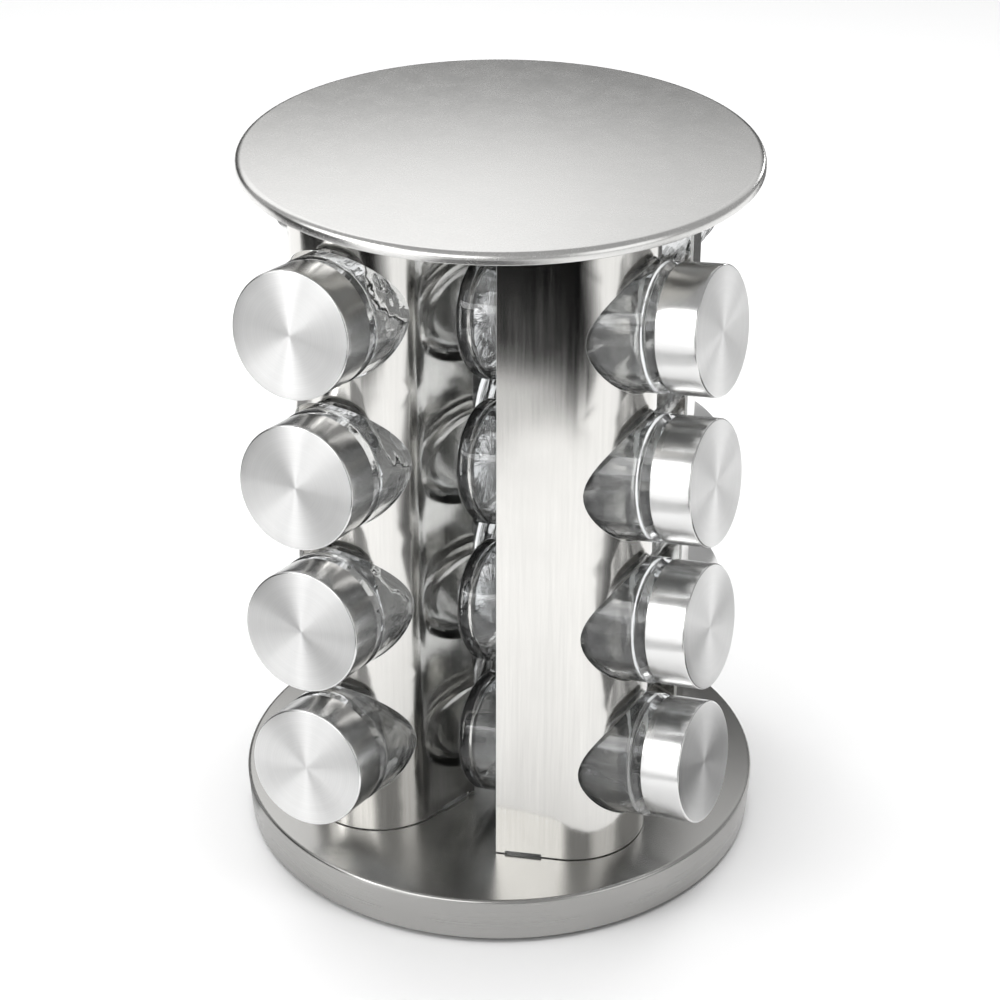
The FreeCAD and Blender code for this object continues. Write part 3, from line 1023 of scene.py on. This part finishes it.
def place_floor(colour):
    """A wide round sheet of matt paper."""
    material, _, surface = new_material("floor paper")
    surface.inputs["Base Color"].default_value = (*colour, 1)
    surface.inputs["Roughness"].default_value = 0.9
    bm = bmesh.new()
    bmesh.ops.create_circle(bm, cap_ends=True, radius=6.0, segments=64)
    mesh = bpy.data.meshes.new("floor")
    bm.to_mesh(mesh)
    bm.free()
    mesh.materials.append(material)
    floor = bpy.data.objects.new("floor", mesh)
    bpy.context.scene.collection.objects.link(floor)


EVEN = [(0.0, 1.0), (1.0, 1.0)]
BLACK = [(0.0, 0.003), (1.0, 0.003)]
# Cards that only the shiny pieces reflect. Each has a name, its width and height, the middle of
# its lower edge as the camera sees it (x right, y away, z up), its turn about the vertical and
# its tilt backwards in degrees, its brightness upwards and across, and its strength.
REFLECTIONS = (
    ("front shade", (0.44, 0.95), (-0.11, -0.44, 0.002), -8, 90,
     [(0.0, 0.95), (0.05, 0.25), (0.09, 0.003), (1.0, 0.003)], None, 1.0),
    ("front shade edge", (0.20, 0.95), (0.208, -0.485, 0.002), -8, 90,
     EVEN, [(0.0, 0.01), (0.5, 0.35), (1.0, 0.95)], 1.0),
    ("left shade", (0.5, 0.42), (-0.62, -0.10, 0.0), -85, 0, BLACK, None, 1.0),
    ("right shade", (0.46, 0.32), (0.37, 0.03, 0.002), 0, 90,
     [(0.0, 0.9), (0.2, 0.3), (0.8, 0.2), (1.0, 0.9)],
     [(0.0, 0.9), (0.12, 0.5), (0.85, 0.5), (1.0, 1.0)], 1.0),
    ("left floor shade", (0.36, 0.28), (-0.285, 0.26, 0.002), 0, 90, EVEN, None, 0.3),
    ("left near floor", (0.46, 0.34), (-0.36, -0.15, 0.002), 0, 90,
     [(0.0, 0.9), (0.3, 0.72), (0.8, 0.72), (1.0, 0.95)], None, 1.0),
    ("rear right shade", (0.32, 0.28), (0.235, 0.35, 0.0), 0, 0, EVEN, None, 0.12),
    ("front glow", (0.9, 0.6), (-0.95, -0.85, 0.0), -48, 0, EVEN, None, 1.5),
    ("right glow", (0.8, 0.8), (0.92, -0.77, 0.25), 50, 0, EVEN, None, 1.2),
    ("left strip", (0.42, 1.1), (-1.30, -0.70, 0.62), -62, 0, EVEN, None, 4.2),
    ("rear strip", (0.26, 0.34), (0.84, 1.12, 0.16), -37, 0, EVEN, None, 5.0),
)


class CAROUSEL_OT_stage(Operator):
    """Set the floor, the cards, the lights and the camera"""

    bl_idname = "carousel.stage"
    bl_label = "Stage"

    def execute(self, context):
        scene = context.scene
        turn = Matrix.Rotation(scene.carousel_camera.azimuth, 4, "Z")
        place_camera(scene.carousel_camera, turn)
        place_floor(scene.carousel_finish.floor)

        scene.view_settings.view_transform = "Standard"
        world = bpy.data.worlds.new("studio")
        world.use_nodes = True
        surround = world.node_tree.nodes["Background"]
        surround.inputs["Color"].default_value = (1, 1, 1, 1)
        surround.inputs["Strength"].default_value = 0.38
        scene.world = world

        softbox("overhead panel", (1.8, 1.8), turn @ look_at((0, 0.2, 1.7), (0, 0.2, 0)), 3.3,
                reflected=False)
        softbox("left panel", (1.0, 1.2), turn @ look_at((-1.5, -0.5, 0.9), (0, 0, 0.1)), 1.5)
        softbox("front panel", (0.9, 0.8), turn @ look_at((-0.62, -1.25, 1.0), (0, 0, 0.1)), 1.9)
        back = turn @ Matrix.Translation((0, 1.5, 0))
        card("backdrop", (3.6, 2.4), back,
             [(0.0, 0.02), (0.31, 0.05), (0.375, 1.0), (1.0, 1.0)],
             [(0.0, 1.0), (0.50, 1.0), (0.56, 0.68), (1.0, 0.5)], strength=1.22)
        for name, size, spot, facing, tip, stops, across, strength in REFLECTIONS:
            place = (turn @ Matrix.Translation(spot) @ Matrix.Rotation(math.radians(facing), 4, "Z")
                     @ Matrix.Rotation(math.radians(tip), 4, "X"))
            card(name, size, place, stops, across, True, strength)
        return {"FINISHED"}


# ------------------------------------------------------------------ panel and registration
class CAROUSEL_PT_panel(Panel):
    """Lists the operators that build the rack."""

    bl_label = "Spice carousel"
    bl_idname = "CAROUSEL_PT_panel"
    bl_space_type = "VIEW_3D"
    bl_region_type = "UI"
    bl_category = "Carousel"

    def draw(self, context):
        for operator in OPERATORS:
            self.layout.operator(operator.bl_idname)


SETTINGS = {
    "carousel_sheet": SheetSettings,
    "carousel_jars": JarSettings,
    "carousel_caps": CapSettings,
    "carousel_finish": FinishSettings,
    "carousel_camera": CameraSettings,
}
OPERATORS = (CAROUSEL_OT_lid, CAROUSEL_OT_dish, CAROUSEL_OT_towers, CAROUSEL_OT_jars,
             CAROUSEL_OT_caps, CAROUSEL_OT_bearing, CAROUSEL_OT_turntable, CAROUSEL_OT_stage)


def register():
    for settings in SETTINGS.values():
        bpy.utils.register_class(settings)
    for name, settings in SETTINGS.items():
        setattr(bpy.types.Scene, name, PointerProperty(type=settings))
    for operator in OPERATORS:
        bpy.utils.register_class(operator)
    bpy.utils.register_class(CAROUSEL_PT_panel)


def unregister():
    bpy.utils.unregister_class(CAROUSEL_PT_panel)
    for operator in reversed(OPERATORS):
        bpy.utils.unregister_class(operator)
    for name in SETTINGS:
        delattr(bpy.types.Scene, name)
    for settings in reversed(list(SETTINGS.values())):
        bpy.utils.unregister_class(settings)


def main():
    register()
    make_materials()
    for operator in OPERATORS:
        group, name = operator.bl_idname.split(".")
        getattr(getattr(bpy.ops, group), name)()


if __name__ == "__main__":
    main()
